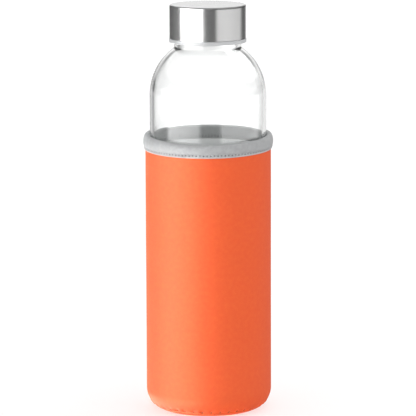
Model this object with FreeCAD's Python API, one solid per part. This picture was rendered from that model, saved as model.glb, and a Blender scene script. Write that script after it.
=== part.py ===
"""Glass water bottle in a sewn neoprene sleeve, with a steel-shelled screw cap.

Units are millimetres. +Z is up, along the bottle's axis. The origin is the centre of the
flat underside of the sleeve, where the object stands. +Y is the side with the sleeve's seam.
"""

import FreeCAD, Part
import math
import os

V = FreeCAD.Vector
FULL_TURN = 360.0

# ---------------------------------------------------------------- driving dimensions
# Glass bottle
GLASS_RADIUS = 32.5          # outside of the straight wall
GLASS_WALL = 2.1             # straight wall and shoulder
GLASS_FLOOR = 4.5            # thickness of the bottom
WALL_HEIGHT = 175.2          # from the glass's underside to the level where the round shoulder starts
NECK_RADIUS = 18.6           # visible neck and the bead under the thread
NECK_FILLET = 0.9            # hollow between neck and shoulder
NECK_WALL = 2.0              # glass behind the root of the thread
NECK_HEIGHT = 19.6           # from the top of that hollow to the rim
BEAD_HEIGHT = 4.1            # from the top of that hollow to the top of the bead
RIM_ROUND = 0.7              # rounding of the rim's two edges

# Screw finish, shared by the glass and the cap's insert
THREAD_LEAD = 4.0            # rise of the cap in one turn
THREAD_DEPTH = 1.0           # from root to crest
THREAD_CREST_WIDTH = 0.9
THREAD_ROOT_WIDTH = 1.9
GLASS_THREAD_TURNS = 1.6
GLASS_THREAD_DROP = 3.2      # from the rim down to the end of the thread
CAP_THREAD_CREST_WIDTH = 0.5
CAP_THREAD_ROOT_WIDTH = 1.1
CAP_THREAD_TURNS = 1.5
THREAD_CLEARANCE = 0.35      # radial gap from each crest to the facing root
RIB_BURIAL = 0.3             # how far a thread's rib runs into the wall that carries it

# Cap
CAP_GAP = 2.7                # neck left bare between the shoulder's hollow and the cap
SHELL_WALL = 0.5             # steel
SHELL_EDGE_ROUND = 0.9       # rounded top edge
LINER_WALL = 1.8             # plastic between the bore and the steel
LINER_TOP_THICKNESS = 2.0
FLANGE_STEP = 0.25           # how far the plastic flange stands out from the steel
FLANGE_HEIGHT = 2.0
FLANGE_ROUND = 0.4
GASKET_THICKNESS = 1.5
GASKET_OVERHANG = 0.7        # how far the ring reaches in over the mouth
GASKET_CLEARANCE = 0.25      # between the ring's outside and the insert's bore

# Sleeve
FACE_THICKNESS = 0.35        # knit skin
FOAM_THICKNESS = 1.7         # neoprene
LINING_THICKNESS = 0.35      # knit lining
SLEEVE_CLEARANCE = 0.2       # between the lining and the glass, all round
SLEEVE_CORNER = 12.0         # outside rounding of the bottom edge
SEAM_ANGLE = 49.0            # where tube and base disc meet, in degrees below the corner's level
BARE_GLASS = 21.0            # straight glass left bare between the binding's crest and the shoulder

# Binding tape rolled over the cut edge; each drop is measured down from its crest
BINDING_LIP = 0.45           # thickness of the tape at its lower edge
BINDING_BULGE = 1.35         # thickness where the roll is widest
BULGE_SHARE = 0.7            # share of that swelling reached halfway up from the lower edge
OUTER_DROP = 9.8             # outer leg's lower edge
INNER_DROP = 7.8             # inner leg's lower edge
BULGE_DROP = 4.2             # level where the roll is widest
CONTACT_DROP = 1.0           # level where the inner leg turns outward into the roll
CUT_EDGE_DROP = 1.8          # cut edge of the tube, inside the roll
HEM_PINCH = 0.15             # how far the sewing draws the skin in under the binding
HEM_PINCH_HEIGHT = 1.0       # length over which it does so

# Sewing thread
THREAD_RADIUS = 0.17         # of the sewing thread
STITCH_LEAN = 0.25           # share of a pitch by which each end of a binding stitch leans aside
STITCH_LEAN_OUT = 0.2        # how far the outer row leans out for each millimetre that it rises
BINDING_STITCH_PITCH = 2.0
BINDING_STITCH_LENGTH = 1.4
BINDING_STITCH_RISE = 1.5    # middle of the outer row above the binding's lower edge
INNER_STITCH_RISE = 0.6      # foot of the inner row above the inner leg's lower edge
BASE_STITCH_PITCH = 5.0
BASE_STITCH_LENGTH = 2.4
BACK_STITCH_PITCH = 3.2      # rise of one zig or one zag up the back seam
BACK_STITCH_WIDTH = 3.0
BACK_STITCH_GAP = 0.7        # height between the end of one stitch and the start of the next
BACK_STITCH_MARGIN = 3.0     # bare length at each end of the back seam

# ---------------------------------------------------------------- worked-out sizes
SLEEVE_WALL = FACE_THICKNESS + FOAM_THICKNESS + LINING_THICKNESS
LINING_INNER_RADIUS = GLASS_RADIUS + SLEEVE_CLEARANCE
FOAM_INNER_RADIUS = LINING_INNER_RADIUS + LINING_THICKNESS
FACE_INNER_RADIUS = FOAM_INNER_RADIUS + FOAM_THICKNESS
SLEEVE_RADIUS = FACE_INNER_RADIUS + FACE_THICKNESS
HEM_RADIUS = SLEEVE_RADIUS - HEM_PINCH
CORNER_CENTRE_RADIUS = SLEEVE_RADIUS - SLEEVE_CORNER
CORNER_CENTRE_Z = SLEEVE_CORNER
GLASS_BOTTOM_Z = SLEEVE_WALL + SLEEVE_CLEARANCE
GLASS_CORNER = SLEEVE_CORNER - SLEEVE_WALL - SLEEVE_CLEARANCE
DOME_CENTRE_Z = GLASS_BOTTOM_Z + WALL_HEIGHT

BINDING_CREST_Z = DOME_CENTRE_Z - BARE_GLASS
BINDING_BOTTOM_Z = BINDING_CREST_Z - OUTER_DROP
BINDING_INNER_BOTTOM_Z = BINDING_CREST_Z - INNER_DROP
SLEEVE_TOP_Z = BINDING_CREST_Z - CUT_EDGE_DROP
LIP_RADIUS = HEM_RADIUS + BINDING_LIP

NECK_ROOT_RADIUS = NECK_RADIUS - THREAD_DEPTH
MOUTH_RADIUS = NECK_ROOT_RADIUS - NECK_WALL
NECK_FOOT_REACH = math.sqrt((GLASS_RADIUS + NECK_FILLET) ** 2 - (NECK_RADIUS + NECK_FILLET) ** 2)
NECK_FOOT_Z = DOME_CENTRE_Z + NECK_FOOT_REACH
BEAD_TOP_Z = NECK_FOOT_Z + BEAD_HEIGHT
RIM_Z = NECK_FOOT_Z + NECK_HEIGHT
THREAD_HEIGHT = GLASS_THREAD_TURNS * THREAD_LEAD
GLASS_THREAD_START_Z = RIM_Z - GLASS_THREAD_DROP - THREAD_HEIGHT

LINER_BORE_RADIUS = NECK_RADIUS + THREAD_CLEARANCE
LINER_BARREL_RADIUS = LINER_BORE_RADIUS + LINER_WALL
CAP_RADIUS = LINER_BARREL_RADIUS + SHELL_WALL
FLANGE_RADIUS = CAP_RADIUS + FLANGE_STEP
LINER_CEILING_Z = RIM_Z + GASKET_THICKNESS
SHELL_INNER_TOP_Z = LINER_CEILING_Z + LINER_TOP_THICKNESS
SHELL_TOP_Z = SHELL_INNER_TOP_Z + SHELL_WALL
FLANGE_BOTTOM_Z = NECK_FOOT_Z + CAP_GAP
SHELL_BOTTOM_Z = FLANGE_BOTTOM_Z + FLANGE_HEIGHT


# ---------------------------------------------------------------- shape helpers
def polar(centre_radius, centre_z, radius, degrees):
    """A point in the XZ half-plane, at an angle from the outward direction (up is positive)."""
    angle = math.radians(degrees)
    return V(centre_radius + radius * math.cos(angle), 0, centre_z + radius * math.sin(angle))


def at(radius, z):
    """A point of a profile in the XZ half-plane."""
    return V(radius, 0, z)


def line(start, end):
    """A straight edge."""
    return Part.LineSegment(start, end).toShape()


def polyline(points):
    """Straight edges from each point to the next."""
    return [line(start, end) for start, end in zip(points, points[1:])]


def arc(start, middle, end):
    """A circular edge through three points."""
    return Part.Arc(start, middle, end).toShape()


def corner_arc(radius, start_degrees, end_degrees):
    """An arc about the sleeve's bottom corner, from one angle to another."""
    middle = (start_degrees + end_degrees) / 2
    points = [polar(CORNER_CENTRE_RADIUS, CORNER_CENTRE_Z, radius, a)
              for a in (start_degrees, middle, end_degrees)]
    return arc(*points)


def revolve(edges):
    """The solid swept by a closed profile of the XZ half-plane about the Z axis."""
    face = Part.Face(Part.Wire(edges))
    return face.revolve(V(0, 0, 0), V(0, 0, 1), FULL_TURN)


def ring(inner_radius, outer_radius, bottom_z, top_z):
    """A plain round ring."""
    outer = Part.makeCylinder(outer_radius, top_z - bottom_z, V(0, 0, bottom_z))
    inner = Part.makeCylinder(inner_radius, top_z - bottom_z, V(0, 0, bottom_z))
    return outer.cut(inner)


def domed_cylinder(radius, bottom_z, top_z, top_round):
    """An upright cylinder with its top edge rounded."""
    cylinder = Part.makeCylinder(radius, top_z - bottom_z, V(0, 0, bottom_z))
    middle_z = (bottom_z + top_z) / 2
    top_edges = [e for e in cylinder.Edges if e.Closed and e.BoundBox.ZMin > middle_z]
    return cylinder.makeFillet(top_round, top_edges)


def thread_rib(root_radius, crest_radius, root_width, crest_width, turns, start_z):
    """A right-hand thread as a solid rib that runs a little into the wall behind its root."""
    outward = 1 if crest_radius > root_radius else -1
    buried_radius = root_radius - outward * RIB_BURIAL
    helix = Part.makeHelix(THREAD_LEAD, THREAD_LEAD * turns, root_radius)
    corners = [V(buried_radius, 0, -root_width / 2), V(crest_radius, 0, -crest_width / 2),
               V(crest_radius, 0, crest_width / 2), V(buried_radius, 0, root_width / 2)]
    profile = Part.makePolygon(corners + corners[:1])
    sweep = Part.BRepOffsetAPI.MakePipeShell(Part.Wire(helix.Edges))
    sweep.setFrenetMode(True)
    sweep.add(profile)
    sweep.build()
    sweep.makeSolid()
    rib = sweep.shape()
    rib.translate(V(0, 0, start_z))
    return rib


def stitch(start, end):
    """One stitch of sewing thread between two points, with round ends."""
    direction = end - start
    thread = Part.makeCylinder(THREAD_RADIUS, direction.Length, start, direction)
    for point in (start, end):
        thread = thread.fuse(Part.makeSphere(THREAD_RADIUS, point))
    return thread.removeSplitter()


def around(shape, count):
    """Copies of a shape, evenly spaced about the Z axis."""
    copies = []
    for index in range(count):
        copy = shape.copy()
        copy.rotate(V(0, 0, 0), V(0, 0, 1), index * FULL_TURN / count)
        copies.append(copy)
    return copies


# ---------------------------------------------------------------- glass bottle
def shoulder_fillet(dome_radius, neck_radius, fillet):
    """The hollow arc between neck and dome: its top on the neck, its middle and its foot on the dome."""
    centre_radius = neck_radius + fillet
    reach = dome_radius + fillet
    centre_z = DOME_CENTRE_Z + math.sqrt(reach ** 2 - centre_radius ** 2)
    foot_angle = math.degrees(math.atan2(centre_z - DOME_CENTRE_Z, centre_radius)) - 180
    middle_angle = (foot_angle - 180) / 2
    return [polar(centre_radius, centre_z, fillet, a) for a in (180, middle_angle, foot_angle)]


def dome_middle(dome_radius, foot):
    """The point halfway along the dome, between its equator and the given foot of the neck's fillet."""
    angle = math.degrees(math.atan2(foot.z - DOME_CENTRE_Z, foot.x))
    return polar(0, DOME_CENTRE_Z, dome_radius, angle / 2)


def make_glass_bottle():
    """Blown bottle: heel, straight wall, round shoulder, neck with bead and thread, open mouth."""
    inner_radius = GLASS_RADIUS - GLASS_WALL
    inner_corner = GLASS_CORNER - GLASS_WALL
    floor_z = GLASS_BOTTOM_Z + GLASS_FLOOR
    heel_radius = GLASS_RADIUS - GLASS_CORNER
    heel_z = GLASS_BOTTOM_Z + GLASS_CORNER
    inner_heel_z = floor_z + inner_corner
    out_top, out_middle, out_foot = shoulder_fillet(GLASS_RADIUS, NECK_RADIUS, NECK_FILLET)
    inner_fillet = NECK_FILLET + GLASS_WALL
    in_top, in_middle, in_foot = shoulder_fillet(inner_radius, MOUTH_RADIUS, inner_fillet)
    rim_out = NECK_ROOT_RADIUS - RIM_ROUND
    rim_in = MOUTH_RADIUS + RIM_ROUND
    rim_low = RIM_Z - RIM_ROUND
    edges = [
        line(at(0, GLASS_BOTTOM_Z), at(heel_radius, GLASS_BOTTOM_Z)),
        arc(at(heel_radius, GLASS_BOTTOM_Z), polar(heel_radius, heel_z, GLASS_CORNER, -45),
            at(GLASS_RADIUS, heel_z)),
        line(at(GLASS_RADIUS, heel_z), at(GLASS_RADIUS, DOME_CENTRE_Z)),
        arc(at(GLASS_RADIUS, DOME_CENTRE_Z), dome_middle(GLASS_RADIUS, out_foot), out_foot),
        arc(out_foot, out_middle, out_top),
        line(out_top, at(NECK_RADIUS, BEAD_TOP_Z - THREAD_DEPTH)),
        arc(at(NECK_RADIUS, BEAD_TOP_Z - THREAD_DEPTH),
            polar(NECK_ROOT_RADIUS, BEAD_TOP_Z - THREAD_DEPTH, THREAD_DEPTH, 45),
            at(NECK_ROOT_RADIUS, BEAD_TOP_Z)),
        line(at(NECK_ROOT_RADIUS, BEAD_TOP_Z), at(NECK_ROOT_RADIUS, rim_low)),
        arc(at(NECK_ROOT_RADIUS, rim_low), polar(rim_out, rim_low, RIM_ROUND, 45), at(rim_out, RIM_Z)),
        line(at(rim_out, RIM_Z), at(rim_in, RIM_Z)),
        arc(at(rim_in, RIM_Z), polar(rim_in, rim_low, RIM_ROUND, 135), at(MOUTH_RADIUS, rim_low)),
        line(at(MOUTH_RADIUS, rim_low), in_top),
        arc(in_top, in_middle, in_foot),
        arc(in_foot, dome_middle(inner_radius, in_foot), at(inner_radius, DOME_CENTRE_Z)),
        line(at(inner_radius, DOME_CENTRE_Z), at(inner_radius, inner_heel_z)),
        arc(at(inner_radius, inner_heel_z),
            polar(inner_radius - inner_corner, inner_heel_z, inner_corner, -45),
            at(inner_radius - inner_corner, floor_z)),
        line(at(inner_radius - inner_corner, floor_z), at(0, floor_z)),
        line(at(0, floor_z), at(0, GLASS_BOTTOM_Z)),
    ]
    rib = thread_rib(NECK_ROOT_RADIUS, NECK_RADIUS, THREAD_ROOT_WIDTH, THREAD_CREST_WIDTH,
                     GLASS_THREAD_TURNS, GLASS_THREAD_START_Z)
    return revolve(edges).fuse(rib).removeSplitter()


# ---------------------------------------------------------------- cap
def make_cap_shell():
    """Drawn steel cup, open below, with a small rounded top edge."""
    outer = domed_cylinder(CAP_RADIUS, SHELL_BOTTOM_Z, SHELL_TOP_Z, SHELL_EDGE_ROUND)
    inner_round = SHELL_EDGE_ROUND - SHELL_WALL
    inner = domed_cylinder(LINER_BARREL_RADIUS, SHELL_BOTTOM_Z, SHELL_INNER_TOP_Z, inner_round)
    return outer.cut(inner)


def make_cap_liner():
    """Plastic screw insert that fills the shell, with its flange below and the female thread inside."""
    top_round = SHELL_EDGE_ROUND - SHELL_WALL
    barrel_low = SHELL_INNER_TOP_Z - top_round
    barrel_top = LINER_BARREL_RADIUS - top_round
    flange_low = FLANGE_BOTTOM_Z + FLANGE_ROUND
    flange_in = FLANGE_RADIUS - FLANGE_ROUND
    edges = [
        line(at(0, SHELL_INNER_TOP_Z), at(barrel_top, SHELL_INNER_TOP_Z)),
        arc(at(barrel_top, SHELL_INNER_TOP_Z), polar(barrel_top, barrel_low, top_round, 45),
            at(LINER_BARREL_RADIUS, barrel_low)),
        line(at(LINER_BARREL_RADIUS, barrel_low), at(LINER_BARREL_RADIUS, SHELL_BOTTOM_Z)),
        line(at(LINER_BARREL_RADIUS, SHELL_BOTTOM_Z), at(FLANGE_RADIUS, SHELL_BOTTOM_Z)),
        line(at(FLANGE_RADIUS, SHELL_BOTTOM_Z), at(FLANGE_RADIUS, flange_low)),
        arc(at(FLANGE_RADIUS, flange_low), polar(flange_in, flange_low, FLANGE_ROUND, -45),
            at(flange_in, FLANGE_BOTTOM_Z)),
        line(at(flange_in, FLANGE_BOTTOM_Z), at(LINER_BORE_RADIUS, FLANGE_BOTTOM_Z)),
        line(at(LINER_BORE_RADIUS, FLANGE_BOTTOM_Z), at(LINER_BORE_RADIUS, LINER_CEILING_Z)),
        line(at(LINER_BORE_RADIUS, LINER_CEILING_Z), at(0, LINER_CEILING_Z)),
        line(at(0, LINER_CEILING_Z), at(0, SHELL_INNER_TOP_Z)),
    ]
    half_lead = THREAD_LEAD / 2
    rib = thread_rib(LINER_BORE_RADIUS, LINER_BORE_RADIUS - THREAD_DEPTH, CAP_THREAD_ROOT_WIDTH,
                     CAP_THREAD_CREST_WIDTH, CAP_THREAD_TURNS, GLASS_THREAD_START_Z - half_lead)
    return revolve(edges).fuse(rib).removeSplitter()


def make_cap_gasket():
    """Silicone ring, flat on the glass rim and held in the top of the insert."""
    outer_radius = LINER_BORE_RADIUS - GASKET_CLEARANCE
    return ring(MOUTH_RADIUS - GASKET_OVERHANG, outer_radius, RIM_Z, LINER_CEILING_Z)


# ---------------------------------------------------------------- sleeve
def make_tube_layer(inner_radius, outer_side):
    """One layer of the sleeve's tube, which curls in to the base seam below.

    The outer side is a list of points from the corner's level up to the cut edge.
    """
    top_z = outer_side[-1].z
    inner_corner = inner_radius - CORNER_CENTRE_RADIUS
    outer_corner = outer_side[0].x - CORNER_CENTRE_RADIUS
    foot_in = polar(CORNER_CENTRE_RADIUS, CORNER_CENTRE_Z, inner_corner, -SEAM_ANGLE)
    foot_out = polar(CORNER_CENTRE_RADIUS, CORNER_CENTRE_Z, outer_corner, -SEAM_ANGLE)
    edges = [line(foot_in, foot_out), corner_arc(outer_corner, -SEAM_ANGLE, 0)]
    edges += polyline(outer_side + [at(inner_radius, top_z), at(inner_radius, CORNER_CENTRE_Z)])
    edges.append(corner_arc(inner_corner, 0, -SEAM_ANGLE))
    return revolve(edges)


def make_face_tube():
    """The knit skin of the tube, drawn in a little where the binding is sewn on."""
    outer_side = [
        at(SLEEVE_RADIUS, CORNER_CENTRE_Z),
        at(SLEEVE_RADIUS, BINDING_BOTTOM_Z - HEM_PINCH_HEIGHT),
        at(HEM_RADIUS, BINDING_BOTTOM_Z),
        at(HEM_RADIUS, SLEEVE_TOP_Z),
    ]
    return make_tube_layer(FACE_INNER_RADIUS, outer_side)


def make_plain_tube(inner_radius, outer_radius, top_z):
    """A layer of the tube with a straight outer side."""
    outer_side = [at(outer_radius, CORNER_CENTRE_Z), at(outer_radius, top_z)]
    return make_tube_layer(inner_radius, outer_side)


def make_base_layer(inner_radius, outer_radius):
    """One layer of the base disc: flat, with an edge that curls up to the seam."""
    inner_corner = inner_radius - CORNER_CENTRE_RADIUS
    outer_corner = outer_radius - CORNER_CENTRE_RADIUS
    low_z = CORNER_CENTRE_Z - outer_corner
    high_z = CORNER_CENTRE_Z - inner_corner
    edge_in = polar(CORNER_CENTRE_RADIUS, CORNER_CENTRE_Z, inner_corner, -SEAM_ANGLE)
    edge_out = polar(CORNER_CENTRE_RADIUS, CORNER_CENTRE_Z, outer_corner, -SEAM_ANGLE)
    edges = [
        line(at(0, low_z), at(CORNER_CENTRE_RADIUS, low_z)),
        corner_arc(outer_corner, -90, -SEAM_ANGLE),
        line(edge_out, edge_in),
        corner_arc(inner_corner, -SEAM_ANGLE, -90),
        line(at(CORNER_CENTRE_RADIUS, high_z), at(0, high_z)),
        line(at(0, high_z), at(0, low_z)),
    ]
    return revolve(edges)


def roll_quarter(crest, side):
    """A quarter of the roll's oval section, from its crest to its widest point on one side."""
    centre = at(crest.x, side.z)
    far, near = sorted((crest, side), key=centre.distanceToPoint, reverse=True)
    oval = Part.Ellipse(far, near, centre)
    return Part.ArcOfEllipse(oval, 0, math.pi / 2).toShape()


def make_top_binding():
    """Knit tape that wraps the tube's cut edge: a soft roll with a thin leg outside and inside."""
    bulge_radius = HEM_RADIUS + BINDING_BULGE
    crest_radius = (LINING_INNER_RADIUS + bulge_radius) / 2
    lip = at(LIP_RADIUS, BINDING_BOTTOM_Z)
    bulge = at(bulge_radius, BINDING_CREST_Z - BULGE_DROP)
    crest = at(crest_radius, BINDING_CREST_Z)
    contact = at(LINING_INNER_RADIUS, BINDING_CREST_Z - CONTACT_DROP)
    halfway_radius = LIP_RADIUS + BULGE_SHARE * (bulge_radius - LIP_RADIUS)
    halfway = at(halfway_radius, (lip.z + bulge.z) / 2)
    tube_side = [
        contact,
        at(LINING_INNER_RADIUS, BINDING_INNER_BOTTOM_Z),
        at(FOAM_INNER_RADIUS, BINDING_INNER_BOTTOM_Z),
        at(FOAM_INNER_RADIUS, SLEEVE_TOP_Z),
        at(HEM_RADIUS, SLEEVE_TOP_Z),
        at(HEM_RADIUS, BINDING_BOTTOM_Z),
        lip,
    ]
    edges = [arc(lip, halfway, bulge), roll_quarter(crest, bulge), roll_quarter(crest, contact)]
    return revolve(edges + polyline(tube_side))


# ---------------------------------------------------------------- stitches
def stitch_row(seat_radius, rise, low_z, length):
    """A row of slanting stitches round the axis, whose upper ends stand further out by the rise."""
    count = round(2 * math.pi * seat_radius / BINDING_STITCH_PITCH)
    lean = STITCH_LEAN * math.radians(FULL_TURN / count)
    end_radius = seat_radius + rise
    start = V(seat_radius * math.cos(-lean), seat_radius * math.sin(-lean), low_z)
    end = V(end_radius * math.cos(lean), end_radius * math.sin(lean), low_z + length)
    return around(stitch(start, end), count)


def make_binding_stitches():
    """Two rows of stitches through the binding: outside over its lower edge, inside near its foot."""
    lean_out = STITCH_LEAN_OUT * BINDING_STITCH_LENGTH
    outer_low_z = BINDING_BOTTOM_Z + BINDING_STITCH_RISE - BINDING_STITCH_LENGTH / 2
    outer = stitch_row(LIP_RADIUS, lean_out, outer_low_z, BINDING_STITCH_LENGTH)
    inner_seat = LINING_INNER_RADIUS + THREAD_RADIUS
    inner_low_z = BINDING_INNER_BOTTOM_Z + INNER_STITCH_RISE
    inner = stitch_row(inner_seat, 0, inner_low_z, BINDING_STITCH_LENGTH)
    return Part.makeCompound(outer + inner)


def make_base_seam_stitches():
    """Stitches across the seam between the tube and the base disc."""
    seat = SLEEVE_CORNER + THREAD_RADIUS
    half_angle = math.degrees(BASE_STITCH_LENGTH / 2 / seat)
    start = polar(CORNER_CENTRE_RADIUS, CORNER_CENTRE_Z, seat, -SEAM_ANGLE - half_angle)
    end = polar(CORNER_CENTRE_RADIUS, CORNER_CENTRE_Z, seat, -SEAM_ANGLE + half_angle)
    seam_radius = polar(CORNER_CENTRE_RADIUS, 0, SLEEVE_CORNER, -SEAM_ANGLE).x
    count = round(2 * math.pi * seam_radius / BASE_STITCH_PITCH)
    first = stitch(start, end)
    first.rotate(V(0, 0, 0), V(0, 0, 1), FULL_TURN / count / 2)
    return Part.makeCompound(around(first, count))


def make_back_seam_stitches():
    """Zigzag stitches up the back of the tube, drawn down flush with the knit."""
    seat = SLEEVE_RADIUS - THREAD_RADIUS
    half_angle = BACK_STITCH_WIDTH / 2 / seat
    low_z = CORNER_CENTRE_Z + BACK_STITCH_MARGIN
    high_z = BINDING_BOTTOM_Z - BACK_STITCH_MARGIN
    count = int((high_z - low_z) / BACK_STITCH_PITCH)
    side = BACK_STITCH_WIDTH / 2
    depth = seat * math.cos(half_angle)
    stitches = []
    for index in range(count):
        foot_z = low_z + index * BACK_STITCH_PITCH
        direction = 1 if index % 2 else -1
        start = V(-direction * side, depth, foot_z)
        end = V(direction * side, depth, foot_z + BACK_STITCH_PITCH - BACK_STITCH_GAP)
        stitches.append(stitch(start, end))
    return Part.makeCompound(stitches)


# ---------------------------------------------------------------- all nodes
def make_nodes():
    """Every node's name with its shape."""
    return {
        "glass_bottle": make_glass_bottle(),
        "cap_shell": make_cap_shell(),
        "cap_liner": make_cap_liner(),
        "cap_gasket": make_cap_gasket(),
        "sleeve_face": make_face_tube(),
        "sleeve_foam": make_plain_tube(FOAM_INNER_RADIUS, FACE_INNER_RADIUS, SLEEVE_TOP_Z),
        "sleeve_lining": make_plain_tube(LINING_INNER_RADIUS, FOAM_INNER_RADIUS,
                                         BINDING_INNER_BOTTOM_Z),
        "base_face": make_base_layer(FACE_INNER_RADIUS, SLEEVE_RADIUS),
        "base_foam": make_base_layer(FOAM_INNER_RADIUS, FACE_INNER_RADIUS),
        "base_lining": make_base_layer(LINING_INNER_RADIUS, FOAM_INNER_RADIUS),
        "top_binding": make_top_binding(),
        "binding_stitches": make_binding_stitches(),
        "base_seam_stitches": make_base_seam_stitches(),
        "back_seam_stitches": make_back_seam_stitches(),
    }


def main():
    """Writes one STEP file per node."""
    os.makedirs("parts", exist_ok=True)
    for name, shape in make_nodes().items():
        box = shape.BoundBox
        height = f"z {box.ZMin:.2f} to {box.ZMax:.2f}"
        print(f"{name}: {len(shape.Solids)} solids, {shape.Volume:.1f} mm3, {height}")
        shape.exportStep(f"parts/{name}.step")


main()
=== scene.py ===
"""Looks of a glass water bottle in an orange knit sleeve, with a brushed steel screw cap.

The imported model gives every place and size; each class below builds one sub-assembly round it,
as surfaces of revolution with their detail worked into the mesh. Units are metres.
"""

import logging
import math
from dataclasses import dataclass, field
from enum import Enum
from typing import Any, Callable, Iterable, Optional, Union

import bpy
import numpy as np
from mathutils import Matrix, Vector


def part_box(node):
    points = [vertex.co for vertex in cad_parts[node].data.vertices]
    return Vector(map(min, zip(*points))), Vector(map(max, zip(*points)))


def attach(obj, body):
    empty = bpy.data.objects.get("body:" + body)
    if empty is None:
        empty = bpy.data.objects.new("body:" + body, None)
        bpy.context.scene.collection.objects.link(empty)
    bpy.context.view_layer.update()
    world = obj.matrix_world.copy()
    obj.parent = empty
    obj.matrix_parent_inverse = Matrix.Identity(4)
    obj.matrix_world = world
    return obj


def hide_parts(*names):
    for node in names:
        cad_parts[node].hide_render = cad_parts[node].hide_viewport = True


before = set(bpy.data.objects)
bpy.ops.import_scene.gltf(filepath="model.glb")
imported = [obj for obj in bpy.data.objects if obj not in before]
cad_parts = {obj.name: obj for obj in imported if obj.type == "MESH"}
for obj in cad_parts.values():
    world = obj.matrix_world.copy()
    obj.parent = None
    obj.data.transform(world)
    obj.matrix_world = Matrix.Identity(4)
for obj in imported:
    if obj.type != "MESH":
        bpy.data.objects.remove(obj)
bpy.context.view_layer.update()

MM = 0.001
TURN = 2 * math.pi
BACK_SEAM_ANGLE = math.pi / 2  # +Y, where the sleeve is sewn up and every surface's own map is cut
HEM_DROP = 2.2 * MM  # how much lower the sleeve's soft top edge hangs at the front
RIGHT_LIFT, LEFT_LIFT = 1.1 * MM, 0.7 * MM  # how far the tape's lower edge is drawn up at the sides
STITCH = np.linspace(-1, 1, 7)  # places along a stitch, from its start to its end

log = logging.getLogger("bottle")
Array = np.ndarray
Number = Union[float, "Value"]
Offset = Callable[[Array, Array, Array], tuple[Array, Array]]


# ---- shader expressions
class Value:
    """One number socket of a shader graph, used in Python expressions."""

    def __init__(self, graph: "Graph", socket: bpy.types.NodeSocket) -> None:
        """Wraps an output socket of a graph."""
        self.graph, self.socket = graph, socket

    def math(self, operation: str, *others: Number) -> "Value":
        """A Math node on this value, with its other inputs."""
        return self.graph.math(operation, self, *others)

    def __add__(self, other: Number) -> "Value":
        """self + other, or other + self."""
        return self.math("ADD", other)

    __radd__ = __add__

    def __sub__(self, other: Number) -> "Value":
        """self - other."""
        return self.math("SUBTRACT", other)

    def __rsub__(self, other: Number) -> "Value":
        """other - self."""
        return self.graph.math("SUBTRACT", other, self)

    def __mul__(self, other: Number) -> "Value":
        """self * other, or other * self."""
        return self.math("MULTIPLY", other)

    __rmul__ = __mul__

    def __truediv__(self, other: Number) -> "Value":
        """self / other."""
        return self.math("DIVIDE", other)

    def __pow__(self, other: Number) -> "Value":
        """self to a power."""
        return self.math("POWER", other)

    def __abs__(self) -> "Value":
        """The absolute value."""
        return self.math("ABSOLUTE")

    def sin(self) -> "Value":
        """The sine."""
        return self.math("SINE")

    def fract(self) -> "Value":
        """The part after the decimal point."""
        return self.math("FRACT")

    def ramp(self, low: float, high: float) -> "Value":
        """A smooth step.

        Args:
            low: where the result leaves 0.
            high: where it reaches 1.

        Returns:
            The step, from 0 to 1.
        """
        settings = {"interpolation_type": "SMOOTHSTEP"}
        node = self.graph.node("MapRange", settings, {0: self, 1: low, 2: high})
        return Value(self.graph, node.outputs[0])

    def band(self, low: float, full: float, fade: float, end: float) -> "Value":
        """A smooth step up from low to full, times one down from fade to end."""
        return self.ramp(low, full) * (1.0 - self.ramp(fade, end))


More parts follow.
